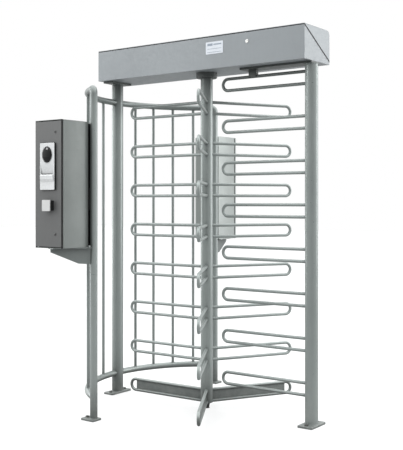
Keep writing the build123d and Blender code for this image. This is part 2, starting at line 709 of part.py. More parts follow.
lock_u = 162.0
lock_spots = (("upper", 1691.0, -1), ("lower", 1105.0, 1))
reader_u, button_u = 108.0, 119.0    # centres of the reader plate and the button, across
for side, unit in (("front", front_unit), ("rear", rear_unit)):
    # casing: bowed sides, open front with an inner rim, lips over and under the door
    with BuildPart() as reader_casing:
        with BuildSketch(unit.offset(box_z0)):
            left, right = casing_arcs(0)
            with BuildLine():
                ThreePointArc(*left)
                Line(left[-1], right[0])
                ThreePointArc(*right)
                Line(right[-1], left[0])
            make_face()
        extrude(amount=box_z1 - box_z0)
        back = reader_casing.faces().sort_by(Axis.Y)[-1 if side == "front" else 0]
        fillet(back.edges().filter_by(Axis.X), 8)
        for z in (box_z0, box_z1 - sheet):
            with BuildSketch(unit.offset(z)):
                with Locations((box_w / 2, 10.5)):
                    Rectangle(box_w, 21)
            extrude(amount=sheet)
        with BuildSketch(unit.offset(box_z0 + sheet)):
            left, right = casing_arcs(sheet)
            with BuildLine():
                ThreePointArc(*left)
                Line(left[-1], right[0])
                ThreePointArc(*right)
                Line(right[-1], left[0])
            make_face()
        extrude(amount=box_z1 - box_z0 - 2 * sheet, mode=Mode.SUBTRACT)
        with BuildSketch(face_plane(unit, 22)):
            with Locations((box_w / 2, (box_z0 + box_z1) / 2)):
                Rectangle(box_w - 8, box_z1 - box_z0 - 2 * sheet)
                Rectangle(box_w - 30, box_z1 - box_z0 - 30, mode=Mode.SUBTRACT)
        extrude(amount=3)
        with BuildSketch(unit.offset(box_z0 - 1)):
            with Locations(door_axis):
                Circle(2.56)
        extrude(amount=box_z1 - box_z0 + 2, mode=Mode.SUBTRACT)
        # cable hole towards the post side
        with BuildSketch(face_plane(unit, box_d - 6)):
            with Locations((box_w / 2, 1090)):
                Circle(12)
        extrude(amount=-10, mode=Mode.SUBTRACT)
    save(reader_casing, side + "_reader_casing")

    # door: a shallow pan that turns on two pins in the casing's lips
    dz0, dz1 = box_z0 + sheet + door_open_gap, box_z1 - sheet - door_open_gap
    with BuildPart() as reader_door:
        with BuildSketch(unit.offset(dz0)):
            with Locations((box_w / 2, door_t / 2)):
                Rectangle(box_w, door_t)
        extrude(amount=dz1 - dz0)
        with BuildSketch(face_plane(unit, 2.5)):
            with Locations((box_w / 2 + 5, (dz0 + dz1) / 2)):
                Rectangle(box_w - 16, dz1 - dz0 - 8)
        extrude(amount=-20, mode=Mode.SUBTRACT)
        for z in (box_z0 + 0.4, dz1):
            with BuildSketch(unit.offset(z)):
                with Locations(door_axis):
                    Circle(2.5)
            extrude(amount=door_open_gap + sheet - 0.4)
        for _, z, _ in lock_spots:
            with BuildSketch(face_plane(unit, 0)):
                with Locations((lock_u, z)):
                    Circle(6.06)
            extrude(amount=-5, mode=Mode.SUBTRACT)
    save(reader_door, side + "_reader_door")

    # raised reader plate: window seat above, a scoop down to the card slot, a lip under it
    with BuildPart() as reader_plate:
        with BuildSketch(face_plane(unit, 0)):
            with Locations((reader_u, 1495)):
                RectangleRounded(116, 270, 5)
        extrude(amount=13)
        fillet(reader_plate.faces().sort_by(Axis.Y)[0 if side == "front" else -1].edges(), 2)
        with BuildSketch(Plane(unit.from_local_coords((reader_u - 51, 0, 0)), x_dir=unit.y_dir, z_dir=unit.x_dir)):
            Polygon((-13, 1449), (-20, 1442), (-20, 1422), (-13, 1404), align=None)
        extrude(amount=102)
        with BuildSketch(Plane(unit.from_local_coords((reader_u - 51, 0, 0)), x_dir=unit.y_dir, z_dir=unit.x_dir)):
            with BuildLine():
                Line((-25, 1518), (-13, 1518))
                ThreePointArc((-13, 1518), (-10.8, 1484), (-5, 1453))
                Line((-5, 1453), (-25, 1453))
                Line((-25, 1453), (-25, 1518))
            make_face()
        extrude(amount=102, mode=Mode.SUBTRACT)
        with BuildSketch(face_plane(unit, -22)):
            with Locations((reader_u, 1451)):
                RectangleRounded(90, 4, 1.5)
        extrude(amount=-20, mode=Mode.SUBTRACT)
        with BuildSketch(face_plane(unit, -20)):
            with Locations((reader_u, 1563)):
                Ellipse(36, 46)
        extrude(amount=-13, mode=Mode.SUBTRACT)
    save(reader_plate, side + "_reader_plate")

    # oval window, domed towards the user
    with BuildPart() as reader_dome:
        with BuildSketch(face_plane(unit, -7)):
            with Locations((reader_u, 1563)):
                Ellipse(35.5, 45.5)
        extrude(amount=16)
        fillet(reader_dome.faces().sort_by(Axis.Y)[0 if side == "front" else -1].edges(), 11)
    save(reader_dome, side + "_reader_dome")

    with BuildPart() as button_housing:
        with BuildSketch(face_plane(unit, 0)):
            with Locations((button_u, 1270)):
                RectangleRounded(60, 59, 4)
                Circle(15.1, mode=Mode.SUBTRACT)
        extrude(amount=25)
    save(button_housing, side + "_button_housing")

    with BuildPart() as push_button:
        with BuildSketch(face_plane(unit, -29)):
            with Locations((button_u, 1270)):
                RectangleRounded(63, 64, 4)
        extrude(amount=5)
        fillet(push_button.faces().sort_by(Axis.Y)[0 if side == "front" else -1].edges(), 1.5)
        with BuildSketch(face_plane(unit, -29)):
            with Locations((button_u, 1270)):
                Circle(15)
        extrude(amount=-20)
    save(push_button, side + "_push_button")

    # key locks with a cam that swings behind the casing's rim
    for name, z, cam in lock_spots:
        with BuildPart() as door_lock:
            with BuildSketch(face_plane(unit, 0)):
                with Locations((lock_u, z)):
                    Circle(8)
            extrude(amount=2)
            with BuildSketch(face_plane(unit, 0)):
                with Locations((lock_u, z)):
                    Circle(6)
            extrude(amount=-24)
            with BuildSketch(face_plane(unit, 24)):
                with Locations((lock_u, z + cam * 16)):
                    SlotCenterToCenter(34, 12, rotation=90)
            extrude(amount=-3)
            with BuildSketch(face_plane(unit, -2)):
                with Locations((lock_u, z)):
                    Rectangle(1.6, 7)
            extrude(amount=-1.5, mode=Mode.SUBTRACT)
        save(door_lock, side + "_door_lock_" + name)

# parts that the two units have alike on the fixed frame
with BuildPart() as reader_boards:
    for unit in (front_unit, rear_unit):
        with BuildSketch(face_plane(unit, box_d - 12)):
            with Locations((box_w / 2, 1400)):
                Rectangle(150, 300)
        extrude(amount=1.6)
        with BuildSketch(face_plane(unit, box_d - 13.6)):
            with Locations((70, 1480), (130, 1400)):
                Rectangle(40, 40)
            with Locations((100, 1280)):
                Rectangle(120, 18)
        extrude(amount=9)
        with BuildSketch(face_plane(unit, box_d - sheet)):
            with Locations((36, 1540), (172, 1540), (36, 1260), (172, 1260)):
                Circle(4)
        extrude(amount=12 - sheet)
save(reader_boards, "reader_boards")

with BuildPart() as reader_back_boxes:
    for unit, wide in ((front_unit, box_w - 14), (rear_unit, box_w - 39)):
        with BuildSketch(face_plane(unit, box_d)):
            with Locations((7 + wide / 2, (box_z0 + box_z1) / 2)):
                RectangleRounded(wide, box_z1 - box_z0 - 16, 6)
        extrude(amount=-29)
    # hollow down the side where a cage post stands against the box
    with BuildSketch(Plane.XY.offset(box_z0)):
        with Locations(front_post, rear_post):
            Circle(cage_post_r + 0.5)
    extrude(amount=box_z1 - box_z0, mode=Mode.SUBTRACT)
save(reader_back_boxes, "reader_back_boxes")

with BuildPart() as cable_blocks:
    for unit, edge in ((front_unit, box_w), (rear_unit, box_w - 25)):
        with BuildSketch(unit.offset(1243)):
            Polygon((edge - 7, box_d + 1.3), (edge + 6, box_d + 1.3), (edge + 6, box_d + 8), (edge - 1, box_d + 14),
                    (edge - 6, box_d + 18), (edge - 7, box_d + 18), align=None)
        extrude(amount=130)
save(cable_blocks, "cable_blocks")

# plates behind the boxes, welded to the left sides of the cage posts
plate_front = 903 - box_d - 29
with BuildPart() as reader_mount_plates:
    with BuildSketch(Plane.XY.offset(box_z0 + 8)):
        for s in (-1, 1):
            with Locations((-424, s * (plate_front - 3))):
                Rectangle(112, 6)
        with Locations(front_post, rear_post):
            Circle(cage_post_r, mode=Mode.SUBTRACT)
        # nothing past the posts' centres
        with Locations((front_post[0] + 100, 0)):
            Rectangle(200, 1500, mode=Mode.SUBTRACT)
    extrude(amount=box_z1 - box_z0 - 16)
save(reader_mount_plates, "reader_mount_plates")

# diagonal web from each post out under its box, with a flange that the box stands on
with BuildPart() as reader_brackets:
    for s, (px, py) in ((-1, front_post), (1, rear_post)):
        ax, ay = -464.0, s * 900.0
        web_l = math.hypot(px - ax, py - ay)
        web_x, web_y = (px - ax) / web_l, (py - ay) / web_l
        web = Plane((ax, ay, 0), x_dir=(web_x, web_y, 0), z_dir=(web_y, -web_x, 0))
        with BuildSketch(web.offset(-4)):
            Polygon((0, box_z0), (0, 1000), (175, 929), (web_l, 922), (web_l, box_z0), align=None)
        extrude(amount=8)
        with BuildSketch(web.offset(-34)):
            with Locations(((web_l - 30) / 2, box_z0 - 2.5)):
                Rectangle(web_l - 30, 5)
        extrude(amount=68)
    with BuildSketch(Plane.XY.offset(900)):
        with Locations(front_post, rear_post):
            Circle(cage_post_r)
    extrude(amount=200, mode=Mode.SUBTRACT)
save(reader_brackets, "reader_brackets")

print("cage posts at", [round(v, 3) for v in front_post], [round(v, 3) for v in rear_post], "plates at", plate_front)
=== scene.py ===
import json
import math
import random

import bpy
import bmesh
from mathutils import Matrix, Vector


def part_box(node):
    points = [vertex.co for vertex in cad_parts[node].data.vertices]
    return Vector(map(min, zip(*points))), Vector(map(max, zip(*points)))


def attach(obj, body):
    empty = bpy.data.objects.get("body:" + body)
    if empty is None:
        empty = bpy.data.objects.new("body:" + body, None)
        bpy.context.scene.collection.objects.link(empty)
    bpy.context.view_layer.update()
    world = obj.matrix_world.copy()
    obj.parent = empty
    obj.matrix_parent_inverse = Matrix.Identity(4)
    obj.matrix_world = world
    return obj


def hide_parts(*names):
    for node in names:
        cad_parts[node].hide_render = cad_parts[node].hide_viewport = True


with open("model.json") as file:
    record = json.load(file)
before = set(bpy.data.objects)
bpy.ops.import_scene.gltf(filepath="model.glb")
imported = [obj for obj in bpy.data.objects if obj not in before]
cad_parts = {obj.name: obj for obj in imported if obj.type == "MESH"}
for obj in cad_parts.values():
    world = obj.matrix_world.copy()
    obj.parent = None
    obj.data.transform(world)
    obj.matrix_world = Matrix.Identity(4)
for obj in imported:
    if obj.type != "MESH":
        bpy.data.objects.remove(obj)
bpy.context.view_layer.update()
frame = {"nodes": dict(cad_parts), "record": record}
nodes = frame["nodes"]
rng = random.Random(7)

# ---------------------------------------------------------------- camera
cam_data = bpy.data.cameras.new("camera")
cam_data.sensor_width = 36.0
cam_data.lens = 68.58
cam_data.shift_x = 0.0224
cam_data.shift_y = -0.0498
cam_data.clip_end = 200.0
camera = bpy.data.objects.new("camera", cam_data)
camera.location = (3.114, -4.392, 1.287)
camera.rotation_euler = (math.radians(90.0), 0.0, math.radians(36.36))
bpy.context.scene.collection.objects.link(camera)
bpy.context.scene.camera = camera
bpy.context.scene.view_settings.view_transform = "Standard"
bpy.context.scene.view_settings.look = "None"


# ---------------------------------------------------------------- materials
class Tree:
    """Small helper that builds a node tree."""

    def __init__(self, name):
        self.mat = bpy.data.materials.new(name)
        self.mat.use_nodes = True
        self.nt = self.mat.node_tree
        self.nt.nodes.clear()
        self.out = self.add("ShaderNodeOutputMaterial")
        self.bsdf = self.add("ShaderNodeBsdfPrincipled")
        self.link(self.bsdf, "BSDF", self.out, "Surface")
        self.coord = self.add("ShaderNodeTexCoord")

    def add(self, kind, **props):
        n = self.nt.nodes.new(kind)
        for k, v in props.items():
            setattr(n, k, v)
        return n

    def link(self, a, ao, b, bi):
        self.nt.links.new(a.outputs[ao], b.inputs[bi])

    def value(self, n, **inputs):
        for k, v in inputs.items():
            n.inputs[k.replace("_", " ")].default_value = v
        return n

    def noise(self, scale, detail=3.0, rough=0.5, stretch=None, offset=None):
        n = self.add("ShaderNodeTexNoise")
        self.value(n, Scale=scale, Detail=detail, Roughness=rough)
        m = self.add("ShaderNodeMapping")
        if stretch:
            m.inputs["Scale"].default_value = stretch
        if offset:
            m.inputs["Location"].default_value = offset
        self.link(self.coord, "Object", m, "Vector")
        self.link(m, "Vector", n, "Vector")
        return n

    def ramp(self, src, out, stops):
        r = self.add("ShaderNodeValToRGB")
        el = r.color_ramp.elements
        el[0].position, el[0].color = stops[0][0], self.rgba(stops[0][1])
        el[1].position, el[1].color = stops[-1][0], self.rgba(stops[-1][1])
        for p, c in stops[1:-1]:
            e = el.new(p)
            e.color = self.rgba(c)
        self.link(src, out, r, "Fac")
        return r

    @staticmethod
    def rgba(c):
        if isinstance(c, (int, float)):
            c = (c, c, c)
        return (c[0], c[1], c[2], 1.0)

    def mix(self, a, b, fac, mode="MIX"):
        """a, b: colour tuple or (node, socket); fac: number or (node, socket)."""
        m = self.add("ShaderNodeMix", data_type="RGBA", blend_type=mode)
        for key, v in (("A", a), ("B", b)):
            sock = [s for s in m.inputs if s.name == key and s.type == "RGBA"][0]
            if isinstance(v[0], bpy.types.Node):
                self.nt.links.new(v[0].outputs[v[1]], sock)
            else:
                sock.default_value = self.rgba(v)
        f = m.inputs[0]
        if isinstance(fac, (int, float)):
            f.default_value = fac
        else:
            self.nt.links.new(fac[0].outputs[fac[1]], f)
        out = [i for i, s in enumerate(m.outputs) if s.type == "RGBA"][0]
        return (m, out)

    def math(self, op, a, b=None, clamp=False):
        m = self.add("ShaderNodeMath", operation=op, use_clamp=clamp)
        for i, v in enumerate((a, b)):
            if v is None:
                continue
            if isinstance(v, (int, float)):
                m.inputs[i].default_value = v
            else:
                self.nt.links.new(v[0].outputs[v[1]], m.inputs[i])
        return (m, 0)

    def edge_mask(self, radius, low, high):
        """1 on convex and concave edges, from the bevelled normal."""
        bev = self.add("ShaderNodeBevel", samples=4)
        bev.inputs["Radius"].default_value = radius
        geo = self.add("ShaderNodeNewGeometry")
        dot = self.add("ShaderNodeVectorMath", operation="DOT_PRODUCT")
        self.link(bev, "Normal", dot, 0)
        self.link(geo, "Normal", dot, 1)
        inv = self.math("SUBTRACT", 1.0, (dot, "Value"), True)
        r = self.ramp(inv[0], inv[1], [(low, 0.0), (high, 1.0)])
        return bev, (r, "Color")

    def finish_normal(self, height, strength, distance, bevel=None):
        b = self.add("ShaderNodeBump")
        b.inputs["Strength"].default_value = strength
        b.inputs["Distance"].default_value = distance
        self.nt.links.new(height[0].outputs[height[1]], b.inputs["Height"])
        if bevel is not None:
            self.link(bevel, "Normal", b, "Normal")
        self.link(b, "Normal", self.bsdf, "Normal")


def paint_light_and_shade_by_side(mat, rear_lit_rgb):
    """Another colour on the exit side of the object (+Y) for a node that has a part on both sides: a shaded and a lit
    copy of one material, painted shade and painted light.
    """
    nt = mat.node_tree
    bsdf = [n for n in nt.nodes if n.type == "BSDF_PRINCIPLED"][0]
    was = bsdf.inputs["Base Color"].links[0].from_socket
    coord = nt.nodes.new("ShaderNodeTexCoord")
    sep = nt.nodes.new("ShaderNodeSeparateXYZ")
    side = nt.nodes.new("ShaderNodeMath")
    side.operation = "GREATER_THAN"
    side.inputs[1].default_value = 0.0
    mix = nt.nodes.new("ShaderNodeMix")
    mix.data_type = "RGBA"
    ins = [i for i in mix.inputs if i.type == "RGBA"]
    nt.links.new(coord.outputs["Object"], sep.inputs[0])
    nt.links.new(sep.outputs["Y"], side.inputs[0])
    nt.links.new(side.outputs[0], mix.inputs[0])
    nt.links.new(was, ins[0])
    ins[1].default_value = (*rear_lit_rgb, 1.0)
    nt.links.new([o for o in mix.outputs if o.type == "RGBA"][0], bsdf.inputs["Base Color"])
    return mat


def coated_metal(name, rgb, rough=0.38, metallic=0.0, spec=0.5, coat=0.0, mottled=0.05, grime_and_corner_shade=0.25,
                 wear=0.5, wear_rgb=(0.62, 0.63, 0.62), bevel_r=0.0012, peel=0.35, dust=0.25, streaks=0.3, shelter_shade=0.0):
    """Powder-coated steel: orange peel, cloudy tone, grime and painted shade in corners, optional painted shade under
    the header, rubbed edges, dust near the floor.
    """
    t = Tree(name)
    big = t.noise(2.3, 5.0, 0.55)
    tone = t.ramp(big, "Fac", [(0.32, [c * (1 - mottled * 1.6) for c in rgb]), (0.5, rgb),
                               (0.68, [min(1, c * (1 + mottled)) for c in rgb])])
    # fine speckle of the powder coat
    speck = t.noise(1400.0, 2.0, 0.6)
    sp = t.ramp(speck, "Fac", [(0.38, 0.93), (0.62, 1.05)])
    col = t.mix((tone, "Color"), (sp, "Color"), 0.55, "MULTIPLY")
    # vertical handling streaks
    st = t.noise(9.0, 6.0, 0.65, stretch=(6.0, 6.0, 0.45))
    sr = t.ramp(st, "Fac", [(0.44, 0.0), (0.74, 1.0)])
    col = t.mix(col, [c * 0.80 for c in rgb], t.math("MULTIPLY", (sr, "Color"), streaks * 0.5), "MIX")
    # grime in corners: ambient occlusion darkens corners and contact lines as painted shade, broken up by grime noise
    ao = t.add("ShaderNodeAmbientOcclusion", samples=6)
    ao.inputs["Distance"].default_value = 0.035
    occ = t.ramp(ao, "AO", [(0.35, 1.0), (0.92, 0.0)])
    gn = t.noise(38.0, 4.0, 0.6, offset=(3.1, 1.7, 0.4))
    gr = t.ramp(gn, "Fac", [(0.35, 0.35), (0.65, 1.0)])
    grime_and_shade_fac = t.math("MULTIPLY", t.math("MULTIPLY", (occ, "Color"), (gr, "Color")), grime_and_corner_shade, True)
    col = t.mix(col, [c * 0.35 for c in rgb], grime_and_shade_fac)
    # painted shade under the header and behind the boxes: a wide ambient occlusion and a rise towards the header's
    # underside darken the paint where its shadow falls
    if shelter_shade:
        wide = t.add("ShaderNodeAmbientOcclusion", samples=8)
        wide.inputs["Distance"].default_value = 0.32
        shelter = t.ramp(wide, "AO", [(0.55, 1.0), (0.88, 0.0)])
        high = t.add("ShaderNodeSeparateXYZ")
        t.link(t.coord, "Object", high, "Vector")
        under = t.add("ShaderNodeMapRange")
        t.value(under, From_Min=1.86, From_Max=2.06, To_Min=0.0, To_Max=1.0)
        t.link(high, "Z", under, "Value")
        painted_shade_mask = t.math("MAXIMUM", (shelter, "Color"), (under, "Result"))
        col = t.mix(col, [c * 0.30 for c in rgb], t.math("MULTIPLY", painted_shade_mask, shelter_shade, True))
    # dust that settles low down
    sep = t.add("ShaderNodeSeparateXYZ")
    t.link(t.coord, "Object", sep, "Vector")
    low = t.add("ShaderNodeMapRange")
    t.value(low, From_Min=0.0, From_Max=0.32, To_Min=1.0, To_Max=0.0)
    t.link(sep, "Z", low, "Value")
    dn = t.noise(22.0, 5.0, 0.7, offset=(8.0, 2.0, 5.0))
    dr = t.ramp(dn, "Fac", [(0.38, 0.1), (0.7, 1.0)])
    dfac = t.math("MULTIPLY", t.math("MULTIPLY", (low, "Result"), (dr, "Color")), dust, True)
    col = t.mix(col, (0.46, 0.45, 0.42), dfac)
    # rubbed edges
    bev, edge = t.edge_mask(bevel_r, 0.01, 0.12)
    wn = t.noise(70.0, 5.0, 0.7, offset=(1.0, 9.0, 4.0))
    wr = t.ramp(wn, "Fac", [(0.46, 0.0), (0.60, 1.0)])
    wfac = t.math("MULTIPLY", t.math("MULTIPLY", edge, (wr, "Color")), wear, True)
    col = t.mix(col, wear_rgb, wfac)
    t.nt.links.new(col[0].outputs[col[1]], t.bsdf.inputs["Base Color"])
    # roughness: cloudy, smoother where rubbed, rougher where dusty
    rn = t.noise(55.0, 4.0, 0.6, offset=(4.0, 4.0, 4.0))
    rr = t.ramp(rn, "Fac", [(0.3, rough - 0.06), (0.7, rough + 0.09)])
    r2 = t.math("ADD", (rr, "Color"), t.math("MULTIPLY", dfac, 0.35), True)
    r3 = t.math("SUBTRACT", r2, t.math("MULTIPLY", wfac, 0.10), True)
    t.nt.links.new(r3[0].outputs[r3[1]], t.bsdf.inputs["Roughness"])
    t.bsdf.inputs["Metallic"].default_value = metallic
    t.bsdf.inputs["Specular IOR Level"].default_value = spec
    t.bsdf.inputs["Coat Weight"].default_value = coat
    t.bsdf.inputs["Coat Roughness"].default_value = 0.25
    # orange peel over a slow unevenness
    p1 = t.noise(620.0, 2.0, 0.5)
    p2 = t.noise(34.0, 3.0, 0.5)
    h = t.math("ADD", (p1, "Fac"), t.math("MULTIPLY", (p2, "Fac"), 2.2))
    t.finish_normal(h, peel, 0.00022, bev)
    return t.mat


def machined(name, rgb, rough=0.28, axis="Z", metallic=1.0, oil=0.4):
    """Turned or milled metal with tool marks and an oily film."""
    t = Tree(name)
    stretch = {"Z": (1.0, 1.0, 60.0), "X": (60.0, 1.0, 1.0), "Y": (1.0, 60.0, 1.0)}[axis]
    marks = t.noise(30.0, 5.0, 0.7, stretch=stretch)
    cloud = t.noise(18.0, 4.0, 0.6)
    tone = t.ramp(cloud, "Fac", [(0.3, [c * 0.72 for c in rgb]), (0.7, [min(1, c * 1.12) for c in rgb])])
    m = t.ramp(marks, "Fac", [(0.35, 0.86), (0.65, 1.06)])
    col = t.mix((tone, "Color"), (m, "Color"), 0.8, "MULTIPLY")
    ao = t.add("ShaderNodeAmbientOcclusion", samples=6)
    ao.inputs["Distance"].default_value = 0.012
    occ = t.ramp(ao, "AO", [(0.4, 1.0), (0.95, 0.0)])
    col = t.mix(col, (0.05, 0.04, 0.03), t.math("MULTIPLY", (occ, "Color"), oil, True))
    bev, edge = t.edge_mask(0.0006, 0.01, 0.15)
    col = t.mix(col, (0.85, 0.85, 0.84), t.math("MULTIPLY", edge, 0.45, True))
    t.nt.links.new(col[0].outputs[col[1]], t.bsdf.inputs["Base Color"])
    rr = t.ramp(marks, "Fac", [(0.3, rough - 0.08), (0.7, rough + 0.14)])
    t.link(rr, "Color", t.bsdf, "Roughness")
    t.bsdf.inputs["Metallic"].default_value = metallic
    t.finish_normal((marks, "Fac"), 0.3, 0.0001, bev)
    return t.mat


def moulded(name, rgb, rough=0.4, grain=0.4, grain_scale=1800.0, coat=0.0, spec=0.5, scuff=0.3,
            scuff_rgb=None, bevel_r=0.0008, metallic=0.0, recess_shade=0.3, reach=0.01):
    """Moulded plastic: fine grain, scuffs, painted shade in corners and recesses."""
    t = Tree(name)
    cloud = t.noise(9.0, 4.0, 0.6)
    tone = t.ramp(cloud, "Fac", [(0.3, [c * 0.93 for c in rgb]), (0.7, [min(1, c * 1.04) for c in rgb])])
    fine = t.noise(grain_scale, 2.0, 0.5)
    fr = t.ramp(fine, "Fac", [(0.35, 0.95), (0.65, 1.04)])
    col = t.mix((tone, "Color"), (fr, "Color"), 0.7, "MULTIPLY")
    # painted shade: darker in corners and recesses found by ambient occlusion, deep in the reader's scoop too
    ao = t.add("ShaderNodeAmbientOcclusion", samples=6)
    ao.inputs["Distance"].default_value = reach
    occ = t.ramp(ao, "AO", [(0.35, 1.0), (0.95, 0.0)])
    col = t.mix(col, [c * 0.45 for c in rgb], t.math("MULTIPLY", (occ, "Color"), recess_shade, True))
    bev, edge = t.edge_mask(bevel_r, 0.01, 0.14)
    sn = t.noise(120.0, 6.0, 0.75, offset=(2.0, 5.0, 7.0))
    sr = t.ramp(sn, "Fac", [(0.5, 0.0), (0.62, 1.0)])
    sfac = t.math("MULTIPLY", t.math("MULTIPLY", edge, (sr, "Color")), scuff, True)
    col = t.mix(col, scuff_rgb or [min(1, c * 1.6 + 0.05) for c in rgb], sfac)
    t.nt.links.new(col[0].outputs[col[1]], t.bsdf.inputs["Base Color"])
    rn = t.noise(80.0, 4.0, 0.6, offset=(6.0, 6.0, 6.0))
    rr = t.ramp(rn, "Fac", [(0.3, max(0.03, rough - 0.06)), (0.7, rough + 0.08)])
    t.link(rr, "Color", t.bsdf, "Roughness")
    t.bsdf.inputs["Metallic"].default_value = metallic
    t.bsdf.inputs["Specular IOR Level"].default_value = spec
    t.bsdf.inputs["Coat Weight"].default_value = coat
    t.bsdf.inputs["Coat Roughness"].default_value = 0.08
    t.finish_normal((fine, "Fac"), grain, 0.00012, bev)
    return t.mat


GREY = (0.262, 0.288, 0.281)
mats = {
    # painted shade: a darker copy of the frame grey for the right post, without the frame's under-header shade
    "right_post_shade_paint": coated_metal("right_post_shade_paint", [c * 1.12 for c in GREY], rough=0.33, metallic=0.45),
    "frame_paint": coated_metal("frame_paint", [c * 1.24 for c in GREY], rough=0.33, metallic=0.45, shelter_shade=0.92),
    # painted shade: a much darker copy of the frame grey, with strong corner shade, for the parts just under the
    # header
    "under_header_shade_paint": coated_metal("under_header_shade_paint", [c * 0.30 for c in GREY], rough=0.42, metallic=0.35, wear=0.35, dust=0.0, grime_and_corner_shade=0.6),
    # painted shade: a darker copy of the frame grey with strong corner shade, for the reader brackets in the shadow
    # under the boxes
    "plate_paint": coated_metal("plate_paint", [c * 0.70 for c in GREY], rough=0.42, metallic=0.35, wear=0.7, dust=0.25, grime_and_corner_shade=0.6),
    "header_paint": coated_metal("header_paint", (0.288, 0.310, 0.326), rough=0.40, metallic=0.15, wear=0.35, dust=0.0, bevel_r=0.0016),
    "casing_paint": coated_metal("casing_paint", (0.192, 0.209, 0.202), rough=0.36, metallic=0.25, wear=0.35, dust=0.0, bevel_r=0.0016),
    # painted light: a lighter copy of the casing paint for the rear reader's casing, mount plates and door edge
    "rear_casing_lit_paint": coated_metal("rear_casing_lit_paint", (0.335, 0.360, 0.350), rough=0.36, metallic=0.25, wear=0.35, dust=0.0, bevel_r=0.0016),
    "door_paint": coated_metal("door_paint", (0.150, 0.152, 0.152), rough=0.40, metallic=0.15, wear=0.25, dust=0.0, bevel_r=0.0014, wear_rgb=(0.30, 0.30, 0.30)),
    "reader_silver": moulded("reader_silver", (0.78, 0.79, 0.80), rough=0.28, coat=0.3, recess_shade=1.0, reach=0.026),
    "dome_black": moulded("dome_black", (0.001, 0.001, 0.0015), rough=0.06, grain=0.0, coat=0.0, spec=0.42, scuff=0.0),
    "black_plastic": moulded("black_plastic", (0.012, 0.013, 0.013), rough=0.5, grain=0.5, spec=0.35),
    "button_white": moulded("button_white", (0.72, 0.72, 0.715), rough=0.35, coat=0.1, recess_shade=0.5),
    "label_white": moulded("label_white", (0.74, 0.78, 0.84), rough=0.30, grain=0.1, coat=0.3),
    "label_ink": moulded("label_ink", (0.30, 0.35, 0.42), rough=0.35, grain=0.1),
    "lock_chrome": machined("lock_chrome", (0.12, 0.12, 0.12), rough=0.40, axis="Y"),
    "lock_bright": machined("lock_bright", (0.82, 0.82, 0.80), rough=0.30, axis="Y", oil=0.2),
    "machined_steel": machined("machined_steel", (0.42, 0.42, 0.42), rough=0.28),
    "socket_steel": machined("socket_steel", (0.10, 0.10, 0.10), rough=0.45, oil=0.8),
    "zinc_steel": machined("zinc_steel", (0.52, 0.53, 0.51), rough=0.36, axis="X", oil=0.25),
    "anchor_zinc": machined("anchor_zinc", (0.20, 0.21, 0.20), rough=0.42, axis="Z", oil=0.5),
    "cast_alloy": machined("cast_alloy", (0.34, 0.35, 0.36), rough=0.5, metallic=0.9),
    "board_green": moulded("board_green", (0.015, 0.10, 0.045), rough=0.32, coat=0.4),
    "rubber_black": moulded("rubber_black", (0.012, 0.012, 0.012), rough=0.62, grain=0.6, grain_scale=900.0, spec=0.3),
    "weld_paint": coated_metal("weld_paint", [c * 0.80 for c in GREY], rough=0.36, metallic=0.4, wear=0.6, dust=0.1),
}

# the reader back boxes: black on the front unit as painted shade in the gap behind the casing, grey on the rear unit
# as painted light
mats["back_boxes"] = paint_light_and_shade_by_side(moulded("back_boxes", (0.012, 0.013, 0.013), rough=0.45, grain=0.5, spec=0.35), (0.27, 0.29, 0.28))
slot_of = {s["node"]: s["material_slot"] for s in frame["record"]["subparts"]}
# parts given another material than the rest of their slot: the parts under the header, the reader brackets and the
# right post take darker copies of the frame grey as painted shade, the rear reader casing and mount plates a lighter
# casing paint as painted light, the back boxes black and grey halves as painted shade and painted light; the rest
# other finishes
finish_of = {"right_post": "right_post_shade_paint", "top_plates": "under_header_shade_paint", "comb_hanger": "under_header_shade_paint", "bearing_housing": "under_header_shade_paint",
             "reader_brackets": "plate_paint", "floor_socket": "socket_steel", "rotor_pivot_pin": "socket_steel",
             "header_bolts": "under_header_shade_paint", "header_lock": "lock_bright",
             "rear_reader_casing": "rear_casing_lit_paint", "reader_mount_plates": "rear_casing_lit_paint", "reader_back_boxes": "back_boxes"}
for name, ob in nodes.items():
    mat = mats[finish_of.get(name, slot_of[name])]
    if ob.data.materials:
        for i in range(len(ob.data.materials)):
            ob.data.materials[i] = mat
    else:
        ob.data.materials.append(mat)


# ---------------------------------------------------------------- mesh helpers
def make(name, verts, faces, slot, body, smooth=True, bevel=None, crease=40.0):
    me = bpy.data.meshes.new(name)
    me.from_pydata([tuple(v) for v in verts], [], faces)
    bm = bmesh.new()
    bm.from_mesh(me)
    bmesh.ops.remove_doubles(bm, verts=bm.verts, dist=1e-7)
    bmesh.ops.recalc_face_normals(bm, faces=bm.faces)
    bm.to_mesh(me)
    bm.free()
    me.materials.append(mats[slot])
    ob = bpy.data.objects.new(name, me)
    bpy.context.scene.collection.objects.link(ob)
    if bevel:
        mod = ob.modifiers.new("edge", "BEVEL")
        mod.width = bevel
        mod.segments = 3
        mod.limit_method = "ANGLE"
        mod.angle_limit = math.radians(35)
        mod.harden_normals = False
    if smooth:
        me.shade_smooth()
        me.set_sharp_from_angle(angle=math.radians(crease))
    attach(ob, body)
    return ob


